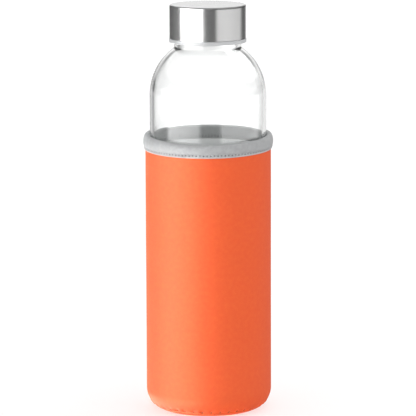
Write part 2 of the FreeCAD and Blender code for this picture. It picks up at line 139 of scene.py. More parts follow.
class Graph:
    """A material's or world's node tree, built by expressions."""

    def __init__(self, tree: bpy.types.NodeTree) -> None:
        """Empties the tree, to be filled."""
        self.tree = tree
        tree.nodes.clear()

    def node(self, kind: str, settings: Optional[dict[str, Any]] = None,
             inputs: Optional[dict[Union[int, str], Any]] = None) -> bpy.types.Node:
        """Adds one node.

        Args:
            kind: the node's type, without the ShaderNode prefix.
            settings: its properties, set first; stops is a colour ramp's list of (place, colour).
            inputs: values, Values or sockets, by the input's name or number.

        Returns:
            The node.
        """
        node = self.tree.nodes.new(f"ShaderNode{kind}")
        for name, value in (settings or {}).items():
            if name == "stops":
                self._set_stops(node.color_ramp, value)
            else:
                setattr(node, name, value)
        for name, value in (inputs or {}).items():
            socket = node.inputs[name]
            if isinstance(value, Value):
                self.tree.links.new(value.socket, socket)
            elif isinstance(value, bpy.types.NodeSocket):
                self.tree.links.new(value, socket)
            else:
                socket.default_value = value
        return node

    @staticmethod
    def _set_stops(ramp: bpy.types.ColorRamp, stops: list[tuple[float, tuple]]) -> None:
        """Gives a colour ramp its stops.

        Args:
            ramp: the ramp.
            stops: (place, colour) pairs in order.
        """
        while len(ramp.elements) > 1:
            ramp.elements.remove(ramp.elements[-1])
        ramp.elements[0].position, ramp.elements[0].color = stops[0]
        for place, colour in stops[1:]:
            ramp.elements.new(place).color = colour

    def math(self, operation: str, *values: Number) -> Value:
        """A Math node with its inputs in order."""
        node = self.node("Math", {"operation": operation}, dict(enumerate(values)))
        return Value(self, node.outputs[0])

    def parts(self, vector: bpy.types.NodeSocket) -> tuple[Value, Value, Value]:
        """The x, y and z of a vector."""
        node = self.node("SeparateXYZ", inputs={0: vector})
        return tuple(Value(self, out) for out in node.outputs)

    def vector(self, x: Number, y: Number, z: Number) -> bpy.types.NodeSocket:
        """A vector of three values."""
        return self.node("CombineXYZ", inputs={0: x, 1: y, 2: z}).outputs[0]

    def place(self) -> bpy.types.NodeSocket:
        """The point of the surface, in metres."""
        return self.node("TexCoord").outputs["Object"]

    def map(self) -> bpy.types.NodeSocket:
        """The surface's own map, in metres round and along it."""
        return self.node("UVMap", {"uv_map": "surface"}).outputs[0]

    def noise(self, vector: bpy.types.NodeSocket, scale: float, detail: float = 2.0,
              roughness: float = 0.5) -> Value:
        """Noise from 0 to 1, of a given number of features per metre."""
        inputs = {"Vector": vector, "Scale": scale, "Detail": detail, "Roughness": roughness}
        return Value(self, self.node("TexNoise", inputs=inputs).outputs[0])

    def blend(self, share: Number, first: Any, second: Any) -> bpy.types.NodeSocket:
        """A colour between two colours or sockets: the first at a share of 0, the second at 1."""
        node = self.node("Mix", {"data_type": "RGBA"}, {0: share, 6: first, 7: second})
        return node.outputs[2]

    def bump(self, height: Number, depth: float, strength: float = 1.0,
             below: Optional[bpy.types.NodeSocket] = None) -> bpy.types.NodeSocket:
        """A bumped normal.

        Args:
            height: the relief, from 0 to 1.
            depth: metres from its lowest to its highest.
            strength: share of the effect.
            below: a normal that this one is added to.

        Returns:
            The normal.
        """
        inputs = {"Strength": strength, "Distance": depth, "Height": height}
        if below is not None:
            inputs["Normal"] = below
        return self.node("Bump", inputs=inputs).outputs[0]


def rgb(red: float, green: float, blue: float) -> tuple[float, float, float, float]:
    """A linear colour with full alpha."""
    return (red, green, blue, 1.0)


def new_material(name: str) -> tuple[bpy.types.Material, Graph]:
    """An empty material.

    Args:
        name: its name.

    Returns:
        The material and its graph.
    """
    material = bpy.data.materials.new(name)
    material.use_nodes = True
    return material, Graph(material.node_tree)


def finish_surface(graph: Graph, inputs: dict[str, Any]) -> None:
    """Ends a material's graph in one Principled shader with these inputs."""
    shader = graph.node("BsdfPrincipled", inputs=inputs)
    graph.node("OutputMaterial", inputs={"Surface": shader.outputs[0]})


# ---- finishes
@dataclass(frozen=True)
class BrushedSteel:
    """Stainless steel: fine brush lines round the wall, turned rings on the top."""

    name: str = "brushed_steel"
    dark: tuple = rgb(0.235, 0.235, 0.234)
    pale: tuple = rgb(0.31, 0.31, 0.308)
    roughness: float = 0.11
    line_scale: float = 9000.0
    top_line_scale: float = 7000.0
    line_depth: float = 0.004 * MM

    def material(self, top_z: float) -> bpy.types.Material:
        """Builds the finish.

        Args:
            top_z: height of the cap's top, where the lines turn into rings.

        Returns:
            The material.
        """
        material, g = new_material(self.name)
        x, y, z = g.parts(g.place())
        radius = (x * x + y * y) ** 0.5
        angle = g.math("ARCTAN2", y, x)
        on_top = (z - (top_z - 0.7 * MM)).ramp(0.0, 0.3 * MM)
        across_wall = g.vector(angle * 0.0025, z, 0.0)
        across_top = g.vector(angle * 0.0012, radius, 5.0)
        wall_lines = g.noise(across_wall, self.line_scale, 3.0, 0.65)
        top_lines = g.noise(across_top, self.top_line_scale, 3.0, 0.6)
        lines = wall_lines * (1.0 - on_top) + top_lines * on_top
        broad = g.noise(g.vector(angle * 0.002, z, radius), 1400.0, 2.0)
        smudge = g.noise(g.place(), 60.0, 3.0)
        shade = g.blend(lines * 0.55 + broad * 0.2 + smudge * 0.25, self.dark, self.pale)
        finish_surface(g, {
            "Base Color": shade,
            "Metallic": 1.0,
            "Roughness": self.roughness + lines * 0.1 + smudge * 0.04,
            "Normal": g.bump(lines, self.line_depth, 0.75),
        })
        return material


@dataclass(frozen=True)
class MouldedPlastic:
    """Satin moulded plastic with a faint spark-eroded grain."""

    name: str
    colour: tuple
    shade: tuple
    roughness: float = 0.42
    grain_scale: float = 2600.0
    grain_depth: float = 0.01 * MM
    subsurface: float = 0.0

    def material(self) -> bpy.types.Material:
        """Builds the finish.

        Returns:
            The material.
        """
        material, g = new_material(self.name)
        grain = g.noise(g.place(), self.grain_scale, 2.0)
        flow = g.noise(g.place(), 90.0, 2.0)
        finish_surface(g, {
            "Base Color": g.blend(flow.ramp(0.3, 0.7), self.colour, self.shade),
            "Roughness": self.roughness + grain * 0.08,
            "Specular IOR Level": 0.45,
            "Subsurface Weight": self.subsurface,
            "Subsurface Radius": (0.5 * MM, 0.5 * MM, 0.5 * MM),
            "Normal": g.bump(grain, self.grain_depth, 0.4),
        })
        return material


@dataclass(frozen=True)
class ClearGlass:
    """Clear soda-lime glass with the faint waves of a blown wall, and painted shade at its edges
    and on its neck.
    """

    name: str = "clear_glass"
    ior: float = 1.5
    roughness: float = 0.0
    wave_scale: float = 38.0
    wave_depth: float = 0.05 * MM
    # Painted shade at the edges: (facing, shade) stops that darken the glass's colour as it turns
    # edge-on.
    edge: tuple = ((0.25, 1.0), (0.5, 0.97), (0.64, 0.93), (0.74, 0.84), (0.82, 0.78), (1.0, 0.74))
    neck_height: float = 205 * MM
    # Painted shade: how far the glass's colour is greyed on the neck, for the threads' and the
    # cap's shade seen through it.
    neck_shade: float = 0.08

    def material(self) -> bpy.types.Material:
        """Builds the finish: shadow rays and diffuse rays go straight through the glass.

        Returns:
            The material.
        """
        material, g = new_material(self.name)
        waves = g.noise(g.place(), self.wave_scale, 1.0)
        # Painted shade: the glass's colour darkens as its surface turns edge-on to the eye, for
        # dark edge lines.
        facing = Value(g, g.node("LayerWeight", inputs={"Blend": 0.5}).outputs["Facing"])
        stops = [(place, rgb(0.996 * shade, shade, 0.998 * shade)) for place, shade in self.edge]
        edge_and_neck_shade = g.node("ValToRGB", {"stops": stops}, {0: facing}).outputs[0]
        # Painted shade on the neck, fading in over the 5 mm below its foot.
        shaded_neck = g.parts(g.place())[2].ramp(self.neck_height - 5 * MM, self.neck_height)
        edge_and_neck_shade = g.blend(shaded_neck * self.neck_shade, edge_and_neck_shade, rgb(0.0, 0.0, 0.0))
        shader = g.node("BsdfPrincipled", inputs={
            "Base Color": edge_and_neck_shade,
            "Roughness": self.roughness,
            "IOR": self.ior,
            "Transmission Weight": 1.0,
            "Normal": g.bump(waves, self.wave_depth, 0.35),
        })
        clear = g.node("BsdfTransparent", inputs={"Color": rgb(0.975, 0.982, 0.979)})
        ray = g.node("LightPath")
        through = g.math("MAXIMUM", Value(g, ray.outputs["Is Shadow Ray"]),
                         Value(g, ray.outputs["Is Diffuse Ray"]))
        both = g.node("MixShader", inputs={0: through, 1: shader.outputs[0], 2: clear.outputs[0]})
        g.node("OutputMaterial", inputs={"Surface": both.outputs[0]})
        return material


def raised(g: Graph) -> Value:
    """The lift of the tape's lower edge at each point, as edge_lift gives it.

    Args:
        g: the material's graph.

    Returns:
        The lift.
    """
    x, y, _ = g.parts(g.place())
    side = x / (x * x + y * y) ** 0.5
    right, left = g.math("MAXIMUM", side, 0.0), g.math("MAXIMUM", side * -1.0, 0.0)
    return right ** 2.0 * RIGHT_LIFT + left ** 4.0 * LEFT_LIFT


@dataclass(frozen=True)
class PitShadeRow:
    """A sewn row on a knit: painted shade in the pit at each stitch, a dark spot at the row's own
    height.
    """

    count: int
    height: float
    width: float
    rise: float
    strength: float = 0.8
    shift: float = 0.0
    lifted: float = 0.0
    inside_of: Optional[float] = None
    outside_of: Optional[float] = None

    def mask(self, g: Graph) -> Value:
        """How strongly the painted pit shade covers each point.

        The distance round the axis to the nearest stitch, and the height above the row, are each
        measured in the pit's own width and rise; the mask falls off smoothly with both.

        Args:
            g: the material's graph.

        Returns:
            The mask, from 0 to the row's strength.
        """
        x, y, z = g.parts(g.place())
        turns = g.math("ARCTAN2", y, x) * (self.count / TURN) + (self.count + self.shift)
        beside = abs((turns + 0.5).fract() - 0.5) * (TURN / self.count)
        radius = (x * x + y * y) ** 0.5
        across = beside * radius / self.width
        up = (z - self.height - raised(g) * self.lifted) / self.rise
        reach = (across * across + up * up) ** 0.5
        mask = (1.0 - reach.ramp(0.35, 1.0)) * self.strength
        if self.inside_of is not None:
            mask = mask * (1.0 - (radius - self.inside_of).ramp(0.0, 0.2 * MM))
        if self.outside_of is not None:
            mask = mask * (radius - self.outside_of).ramp(-0.2 * MM, 0.0)
        return mask


@dataclass(frozen=True)
class EdgeBand:
    """A paler band of a knit below some height."""

    height: float
    blend: float
    colour: tuple
    share: float = 0.6
    lifted: float = 0.0


@dataclass(frozen=True)
class Knit:
    """Fine jersey knit: interlocking stitches, a mottle of lighter fibres and a soft sheen."""

    name: str
    colour: tuple
    pale: tuple
    dark: tuple
    wale: float = 0.62 * MM
    course: float = 0.5 * MM
    depth: float = 0.09 * MM
    mottle: float = 0.35
    sheen: float = 0.2
    specular: float = 0.5
    specular_tint: tuple = rgb(1.0, 1.0, 1.0)
    ior: float = 1.5
    roughness: float = 0.5
    fuzz: float = 0.5
    # Painted shade: the colour that the sewn rows darken the knit towards, in their pits.
    pit_shade: tuple = rgb(0.06, 0.06, 0.062)
    pits: tuple = ()
    band: Optional[EdgeBand] = None

    def relief(self, g: Graph) -> Value:
        """The knit's relief on the surface's own map.

        Each column is a row of V-shaped loops: the height is a cosine along the column whose
        phase runs back towards both of the column's edges, times an arch across the column.

        Args:
            g: the material's graph.

        Returns:
            The height, from 0 to 1.
        """
        round_it, along, _ = g.parts(g.map())
        wobble = g.noise(g.map(), 260.0, 2.0) * 0.5
        column = (round_it / self.wale + wobble).fract()
        from_middle = abs(column - 0.5)
        phase = (along / self.course + from_middle * 1.4 + wobble) * TURN
        loop = phase.sin() * 0.5 + 0.5
        arch = 1.0 - (from_middle * 2.0) ** 3.0
        return loop * arch * 0.7 + arch * 0.3

    def material(self) -> bpy.types.Material:
        """Builds the finish.

        Returns:
            The material.
        """
        material, g = new_material(self.name)
        loops = self.relief(g)
        fibre = g.noise(g.map(), 2600.0, 3.0, 0.7)
        patches = g.noise(g.map(), 420.0, 4.0, 0.65)
        cloud = g.noise(g.place(), 26.0, 2.0)
        light = (patches * 0.6 + fibre * 0.4).ramp(0.38, 0.66)
        tone = g.blend(loops * 0.55 + 0.45, self.dark, self.colour)
        tone = g.blend(light * self.mottle, tone, self.pale)
        tone = g.blend(cloud.ramp(0.35, 0.7) * 0.08, tone, self.dark)
        height_here = g.parts(g.place())[2]
        if self.band is not None:
            above = height_here - raised(g) * self.band.lifted - self.band.height
            below = 1.0 - above.ramp(-self.band.blend, self.band.blend)
            tone = g.blend(below * self.band.share, tone, self.band.colour)
        # Painted shade in the pits of each sewn row.
        for row in self.pits:
            tone = g.blend(row.mask(g), tone, self.pit_shade)
        height = loops * (1.0 - self.fuzz) + fibre * self.fuzz
        finish_surface(g, {
            "Base Color": tone,
            "Roughness": self.roughness + fibre * 0.18,
            "Specular IOR Level": self.specular,
            "Specular Tint": self.specular_tint,
            "IOR": self.ior,
            "Sheen Weight": self.sheen,
            "Sheen Roughness": 0.45,
            "Normal": g.bump(height, self.depth, 0.8),
        })
        return material


@dataclass(frozen=True)
class SewingThread:
    """Twisted sewing thread."""

    name: str
    colour: tuple
    dark: tuple
    twist_scale: float = 2800.0

    def material(self) -> bpy.types.Material:
        """Builds the finish: two plies that wind along the thread's own map.

        Returns:
            The material.
        """
        material, g = new_material(self.name)
        round_it, along, _ = g.parts(g.map())
        ply = ((round_it + along) * self.twist_scale * 2.0).sin() * 0.5 + 0.5
        fibre = g.noise(g.place(), 9000.0, 2.0)
        finish_surface(g, {
            "Base Color": g.blend(ply * 0.7 + fibre * 0.3, self.dark, self.colour),
            "Roughness": 0.55 + fibre * 0.2,
            "Specular IOR Level": 0.3,
            "Normal": g.bump(ply * 0.8 + fibre * 0.2, 0.05 * MM, 0.7),
        })
        return material


@dataclass(frozen=True)
class CellFoam:
    """Closed-cell neoprene foam."""

    name: str = "neoprene_foam"
    colour: tuple = rgb(0.035, 0.035, 0.038)
    cell_wall: tuple = rgb(0.075, 0.075, 0.08)
    cell_scale: float = 2400.0

    def material(self) -> bpy.types.Material:
        """Builds the finish: small round cells with paler walls.

        Returns:
            The material.
        """
        material, g = new_material(self.name)
        cells = g.node("TexVoronoi", inputs={"Vector": g.place(), "Scale": self.cell_scale})
        wall = Value(g, cells.outputs["Distance"])
        finish_surface(g, {
            "Base Color": g.blend(wall.ramp(0.2, 0.7), self.colour, self.cell_wall),
            "Roughness": 0.75 + wall * 0.15,
            "Normal": g.bump(wall, 0.12 * MM, 0.8),
        })
        return material


# ---- profiles
Point = tuple[float, float]


def arc(centre: Point, radius: float, start: float, end: float, steps: int) -> list[Point]:
    """Points of an arc: the centre plus the radius times the (cosine, sine) of even angles."""
    angles = np.radians(np.linspace(start, end, steps + 1))
    return [(centre[0] + radius * math.cos(a), centre[1] + radius * math.sin(a)) for a in angles]


def softened(corners: list[tuple[float, float, float]], steps: int = 5) -> list[Point]:
    """A closed or open outline whose corners are rounded, with a guard row beside each round.

    At a corner the arc's centre lies on the bisector, at the radius over the sine of the half
    angle, and the tangent points lie at the radius over the tangent of the half angle.

    Args:
        corners: (radius, height, rounding) for each corner in order.
        steps: chords per rounded corner.

    Returns:
        The outline's points, with its first and last corner kept sharp.
    """
    points = [np.array(c[:2]) for c in corners]
    result: list[Point] = [tuple(points[0])]
    for index in range(1, len(points) - 1):
        here, rounding = points[index], corners[index][2]
        back, ahead = points[index - 1] - here, points[index + 1] - here
        back_length, ahead_length = np.linalg.norm(back), np.linalg.norm(ahead)
        back, ahead = back / back_length, ahead / ahead_length
        half = math.acos(float(np.clip(back @ ahead, -1, 1))) / 2
        if rounding <= 0 or half > math.pi / 2 - 1e-3:
            result.append(tuple(here))
            continue
        reach = rounding / math.tan(half)
        centre = here + (back + ahead) / np.linalg.norm(back + ahead) * rounding / math.sin(half)
        first, last = here + back * reach, here + ahead * reach
        guard = min(0.35 * rounding, 0.4 * max(back_length - reach, 1e-6))
        result.append(tuple(first + back * guard))
        a0 = math.atan2(*(first - centre)[::-1])
        a1 = math.atan2(*(last - centre)[::-1])
        sweep = (a1 - a0 + math.pi) % TURN - math.pi
        angles = a0 + sweep * np.linspace(0, 1, steps + 1)
        result += [tuple(centre + rounding * np.array([math.cos(a), math.sin(a)])) for a in angles]
        guard = min(0.35 * rounding, 0.4 * max(ahead_length - reach, 1e-6))
        result.append(tuple(last + ahead * guard))
    result.append(tuple(points[-1]))
    return result


def divided(points: Iterable[Point], step: float) -> list[Point]:
    """The same outline with no run longer than a step.

    Args:
        points: the outline.
        step: longest run.

    Returns:
        The outline with evenly spaced points added on its long runs.
    """
    points = [np.array(p) for p in points]
    result = [tuple(points[0])]
    for start, end in zip(points, points[1:]):
        count = max(1, math.ceil(np.linalg.norm(end - start) / step - 1e-6))
        result += [tuple(start + (end - start) * k / count) for k in range(1, count + 1)]
    return result


def smoothstep(value: Array) -> Array:
    """A smooth step of an array, from 0 at 0 to 1 at 1."""
    value = np.clip(value, 0.0, 1.0)
    return value * value * (3.0 - 2.0 * value)


def bell(distance: Array, width: float) -> Array:
    """A bell curve of an array of distances: 1 in the middle, about a third at one width."""
    return np.exp(-(distance / width) ** 2)


def to_nearest(position: Array, pitch: float) -> Array:
    """The signed distance from each position to the nearest whole multiple of a pitch."""
    return position - np.round(position / pitch) * pitch


class Waves:
    """Smooth unevenness round the axis: a few sine waves with seeded strengths and phases."""

    def __init__(self, seed: int, lobes: tuple[int, int], count: int = 7) -> None:
        """Draws the waves.

        Args:
            seed: seed of the draws.
            lobes: fewest and most lobes in a full turn.
            count: number of waves.
        """
        draw = np.random.default_rng(seed)
        self.waves = list(zip(draw.integers(lobes[0], lobes[1] + 1, count),
                              draw.uniform(0, TURN, count),
                              draw.uniform(0.4, 1.0, count) / count,
                              draw.uniform(-60.0, 60.0, count)))

    def __call__(self, angle: Array, along: Array) -> Array:
        """The sum of each wave's sine of lobes times angle plus slope times height plus phase.

        Args:
            angle: angles about the axis.
            along: heights, in metres.

        Returns:
            The unevenness, from about -1 to 1.
        """
        total = np.zeros(np.broadcast(angle, along).shape)
        for lobes, phase, strength, slope in self.waves:
            total = total + strength * np.sin(lobes * angle + slope * along + phase)
        return total


def hem_dip(angle: Array, height: Array, foot: float, crest: float) -> Array:
    """How far the sleeve's soft top edge hangs lower towards the front."""
    # A power of half of one minus the angle's sine: full at the front, a fifth at the sides and
    # nothing at the back. It grows from the foot, which keeps its place, up to the crest.
    share = np.clip((height - foot) / (crest - foot), 0.0, 1.0)
    return HEM_DROP * share * ((1.0 - np.sin(angle)) / 2.0) ** 2.4


def edge_lift(angle: Array) -> Array:
    """How far the tape's lower edge is drawn up at the sides."""
    # The square of the angle's cosine on the right, and its fourth power on the left.
    side = np.cos(angle)
    return np.where(side > 0.0, RIGHT_LIFT * side ** 2, LEFT_LIFT * side ** 4)


# ---- meshes
def mesh_object(name: str, vertices: Array, faces: list[Array], maps: Array,
                material: bpy.types.Material) -> bpy.types.Object:
    """A smooth mesh object with its map and material.

    Args:
        name: the piece's name.
        vertices: (n, 3) places.
        faces: arrays of faces, each (m, 3) or (m, 4) vertex numbers.
        maps: (corners, 2) map coordinates, in the faces' order.
        material: its finish.

    Returns:
        The object, linked to the scene.
    """
    mesh = bpy.data.meshes.new(name)
    corners = np.concatenate([f.ravel() for f in faces])
    sizes = np.concatenate([np.full(len(f), f.shape[1]) for f in faces])
    starts = np.concatenate([[0], np.cumsum(sizes)[:-1]])
    mesh.vertices.add(len(vertices))
    mesh.loops.add(len(corners))
    mesh.polygons.add(len(sizes))
    mesh.vertices.foreach_set("co", vertices.astype(np.float32).ravel())
    mesh.loops.foreach_set("vertex_index", corners.astype(np.int32))
    mesh.polygons.foreach_set("loop_start", starts.astype(np.int32))
    mesh.update(calc_edges=True)
    layer = mesh.uv_layers.new(name="surface")
    layer.data.foreach_set("uv", maps.astype(np.float32).ravel())
    mesh.polygons.foreach_set("use_smooth", np.ones(len(sizes), bool))
    mesh.validate()
    mesh.update()
    mesh.materials.append(material)
    made = bpy.data.objects.new(name, mesh)
    bpy.context.scene.collection.objects.link(made)
    return made


def around(radius: Array, angle: Array, height: Array) -> Array:
    """The points at each radius, angle and height about the axis, as (x, y, z)."""
    parts = np.broadcast_arrays(radius * np.cos(angle), radius * np.sin(angle), height)
    return np.stack(parts, axis=-1)


def turned(name: str, profile: list[Point], material: bpy.types.Material, columns: int = 192,
           closed: bool = False, offset: Optional[Offset] = None) -> bpy.types.Object:
    """A surface of revolution, with detail pushed in or out of it.

    A point is (r cos a, r sin a, z), where r and z are the profile's and a runs evenly round from
    the back; an offset adds its own dr and dz. An open profile starts and ends on the axis, where
    a row is one pole; a closed one joins its last row to its first. If the enclosed volume comes
    out negative the faces are turned over.

    Args:
        name: the piece's name.
        profile: (radius, height) points in order.
        material: its finish.
        columns: points round the axis.
        closed: whether the last row joins the first.
        offset: function of (radius, angle, height) that gives (dr, dz).

    Returns:
        The object.
    """
    profile = np.array(profile, float)
    rows = len(profile)
    runs = np.linalg.norm(np.roll(profile, -1, axis=0) - profile, axis=1)
    along = np.concatenate([[0], np.cumsum(runs)])
    column = np.arange(columns)
    shape = (rows, columns)
    angle = np.broadcast_to(BACK_SEAM_ANGLE + TURN * column / columns, shape)
    radius = np.broadcast_to(profile[:, :1], shape)
    height = np.broadcast_to(profile[:, 1:], shape)
    poles = profile[:, 0] <= 1e-9
    if offset is not None:
        dr, dz = offset(radius, angle, height)
        radius = radius + np.where(poles[:, None], 0.0, dr)
        height = height + dz
    sizes = np.where(poles, 1, columns)
    starts = (np.cumsum(sizes) - sizes)[:, None]
    numbers = starts + np.where(poles[:, None], 0, column)
    vertices = around(radius, angle, height)[~poles[:, None] | (column == 0)]
    first = np.arange(rows if closed else rows - 1)
    second, ahead = (first + 1) % rows, (column + 1) % columns
    corners = np.stack([numbers[first], numbers[first][:, ahead],
                        numbers[second][:, ahead], numbers[second]], axis=-1)
    reference = TURN * profile[:, 0].max() / columns
    u = np.stack([column, column + 1, column + 1, column], axis=-1) * reference
    v = np.stack([along[first], along[first], along[first + 1], along[first + 1]], axis=-1)
    places = np.stack(np.broadcast_arrays(u[None], v[:, None]), axis=-1)
    faces, maps = [], []
    plain = ~poles[first] & ~poles[second]
    quad, from_pole, to_pole = [0, 1, 2, 3], [0, 2, 3], [0, 1, 2]
    for chosen, kept in ((plain, quad), (poles[first], from_pole), (poles[second], to_pole)):
        if chosen.any():
            faces.append(corners[chosen][..., kept].reshape(-1, len(kept)))
            maps.append(places[chosen][..., kept, :].reshape(-1, len(kept), 2))
    if signed_volume(vertices, faces) < 0:
        faces = [f[:, ::-1] for f in faces]
        maps = [m[:, ::-1] for m in maps]
    flat_maps = np.concatenate([m.reshape(-1, 2) for m in maps])
    return mesh_object(name, vertices, faces, flat_maps, material)


def signed_volume(vertices: Array, faces: list[Array]) -> float:
    """The volume that a mesh encloses, negative if its faces point inwards.

    It is a sixth of the sum, over the triangles, of the triple product of their corners.

    Args:
        vertices: (n, 3) places.
        faces: arrays of faces, each (m, 3) or (m, 4) vertex numbers.

    Returns:
        The volume.
    """
    total = 0.0
    for group in faces:
        first = vertices[group[:, 0]]
        for k in range(1, group.shape[1] - 1):
            second, third = vertices[group[:, k]], vertices[group[:, k + 1]]
            total += float(np.einsum("ij,ij->", first, np.cross(second, third))) / 6
    return total


def threads(name: str, paths: Array, radius: float, material: bpy.types.Material,
            sides: int = 6) -> bpy.types.Object:
    """Many short threads as closed tubes with pointed ends, in one mesh.

    Round each path point stands a ring of points at the tube's radius, in the plane of two
    directions square to the path; the radius follows the square root of a sine along the path,
    so that both ends draw in.

    Args:
        name: the piece's name.
        paths: (threads, points, 3) middle lines.
        radius: of the thread.
        material: its finish.
        sides: of the tube.

    Returns:
        The object.
    """
    count, points, _ = paths.shape
    tangent = np.gradient(paths, axis=1)
    tangent /= np.linalg.norm(tangent, axis=2, keepdims=True)
    outward = paths * np.array([1.0, 1.0, 0.0])
    outward /= np.linalg.norm(outward, axis=2, keepdims=True)
    side = np.cross(tangent, outward)
    side /= np.linalg.norm(side, axis=2, keepdims=True)
    outward = np.cross(side, tangent)
    share = np.linspace(0.03, 0.97, points)
    swell = radius * np.sqrt(np.sin(math.pi * share)).clip(0.25, 1.0)
    turn = TURN * np.arange(sides) / sides
    ring = (np.cos(turn)[None, None, :, None] * outward[:, :, None, :]
            + np.sin(turn)[None, None, :, None] * side[:, :, None, :])
    tube = paths[:, :, None, :] + ring * swell[None, :, None, None]
    ends = paths[:, [0, -1]] + tangent[:, [0, -1]] * radius * np.array([-0.6, 0.6])[None, :, None]
    per_thread = points * sides + 2
    vertices = np.concatenate([tube.reshape(count, -1, 3), ends], axis=1).reshape(-1, 3)
    base = np.arange(count)[:, None, None] * per_thread
    row, column = np.arange(points - 1)[:, None] * sides, np.arange(sides)[None, :]
    ahead = (column + 1) % sides
    quads = np.stack([row + column, row + ahead, row + sides + ahead, row + sides + column], -1)
    quads = (quads.reshape(1, -1, 4) + base).reshape(-1, 4)
    last = (points - 1) * sides
    foot = np.stack([np.full(sides, points * sides), ahead[0], column[0]], -1)
    head = np.stack([np.full(sides, points * sides + 1), last + column[0], last + ahead[0]], -1)
    caps = (np.concatenate([foot, head])[None] + base).reshape(-1, 3)
    faces = [quads, caps]
    if signed_volume(vertices, faces) < 0:
        faces = [f[:, ::-1] for f in faces]
    length = np.linalg.norm(np.diff(paths[0], axis=0), axis=1).sum()
    around = TURN * radius
    local = np.arange(per_thread)
    v = np.where(local < points * sides, (local // sides) * length / (points - 1), 0.0)
    v[-1] = length
    u = np.where(local < points * sides, (local % sides) * around / sides, 0.0)
    table = np.stack([u, v], -1)
    maps = np.concatenate([table[f.ravel() % per_thread] for f in faces])
    return mesh_object(name, vertices, faces, maps, material)


def zigzag(index: Array) -> Array:
    """Which way each stitch of a zigzag leans: back for the even ones, forward for the odd."""
    return np.where(index % 2, 1.0, -1.0)


def helix_rib(angle: Array, height: Array, start: float, lead: float, turns: float,
              width: float, crest: float) -> Array:
    """How far a screw thread stands out at each point, from 0 to 1.

    The number of turns up to a point is its height over the lead; less its own share of a turn,
    rounded, that names the nearest pass of the thread, and what is left is the distance from it.
    The section is a smooth trapezium, and it fades in and out at the thread's two ends.

    Args:
        angle: angles about the axis.
        height: heights.
        start: height where the thread begins, at angle 0.
        lead: rise in one turn.
        turns: its length.
        width: width at the root.
        crest: width at the crest.

    Returns:
        The thread's share at each point.
    """
    share = (angle / TURN) % 1.0
    turn_number = (height - start) / lead - share
    nearest = np.round(turn_number)
    distance = np.abs(turn_number - nearest) * lead
    travelled = nearest + share
    fade = smoothstep(travelled / 0.12) * smoothstep((turns - travelled) / 0.12)
    section = smoothstep((width / 2 - distance) / ((width - crest) / 2))
    inside = (travelled >= 0) & (travelled <= turns)
    return np.where(inside, section * fade, 0.0)


class Body(Enum):
    """The model's bodies that pieces ride on."""

    SLEEVE = "sleeve"
    BOTTLE = "bottle"
    CAP_SEAL = "cap_seal"
    CAP = "cap"


def dress(piece: bpy.types.Object, body: Body, node: str, slot: str) -> bpy.types.Object:
    """Ties a piece to the model and reports it.

    Args:
        piece: the finished piece.
        body: the body it rides on.
        node: the node it stands for.
        slot: its material slot in the record; not used.

    Returns:
        The piece.
    """
    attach(piece, body.value)
    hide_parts(node)
    log.info("%s: %d faces on %s", piece.name, len(piece.data.polygons), body.value)
    return piece


# ---- bottle
@dataclass
class Thread:
    """The screw finish that the glass and the cap's insert share."""

    lead: float = 4.0 * MM
    depth: float = 1.0 * MM
    glass_turns: float = 1.6
    cap_turns: float = 1.5
    drop: float = 3.2 * MM
    clearance: float = 0.35 * MM

    def start(self, rim: float) -> float:
        """Height where the glass thread begins, below a rim."""
        return rim - self.drop - self.glass_turns * self.lead


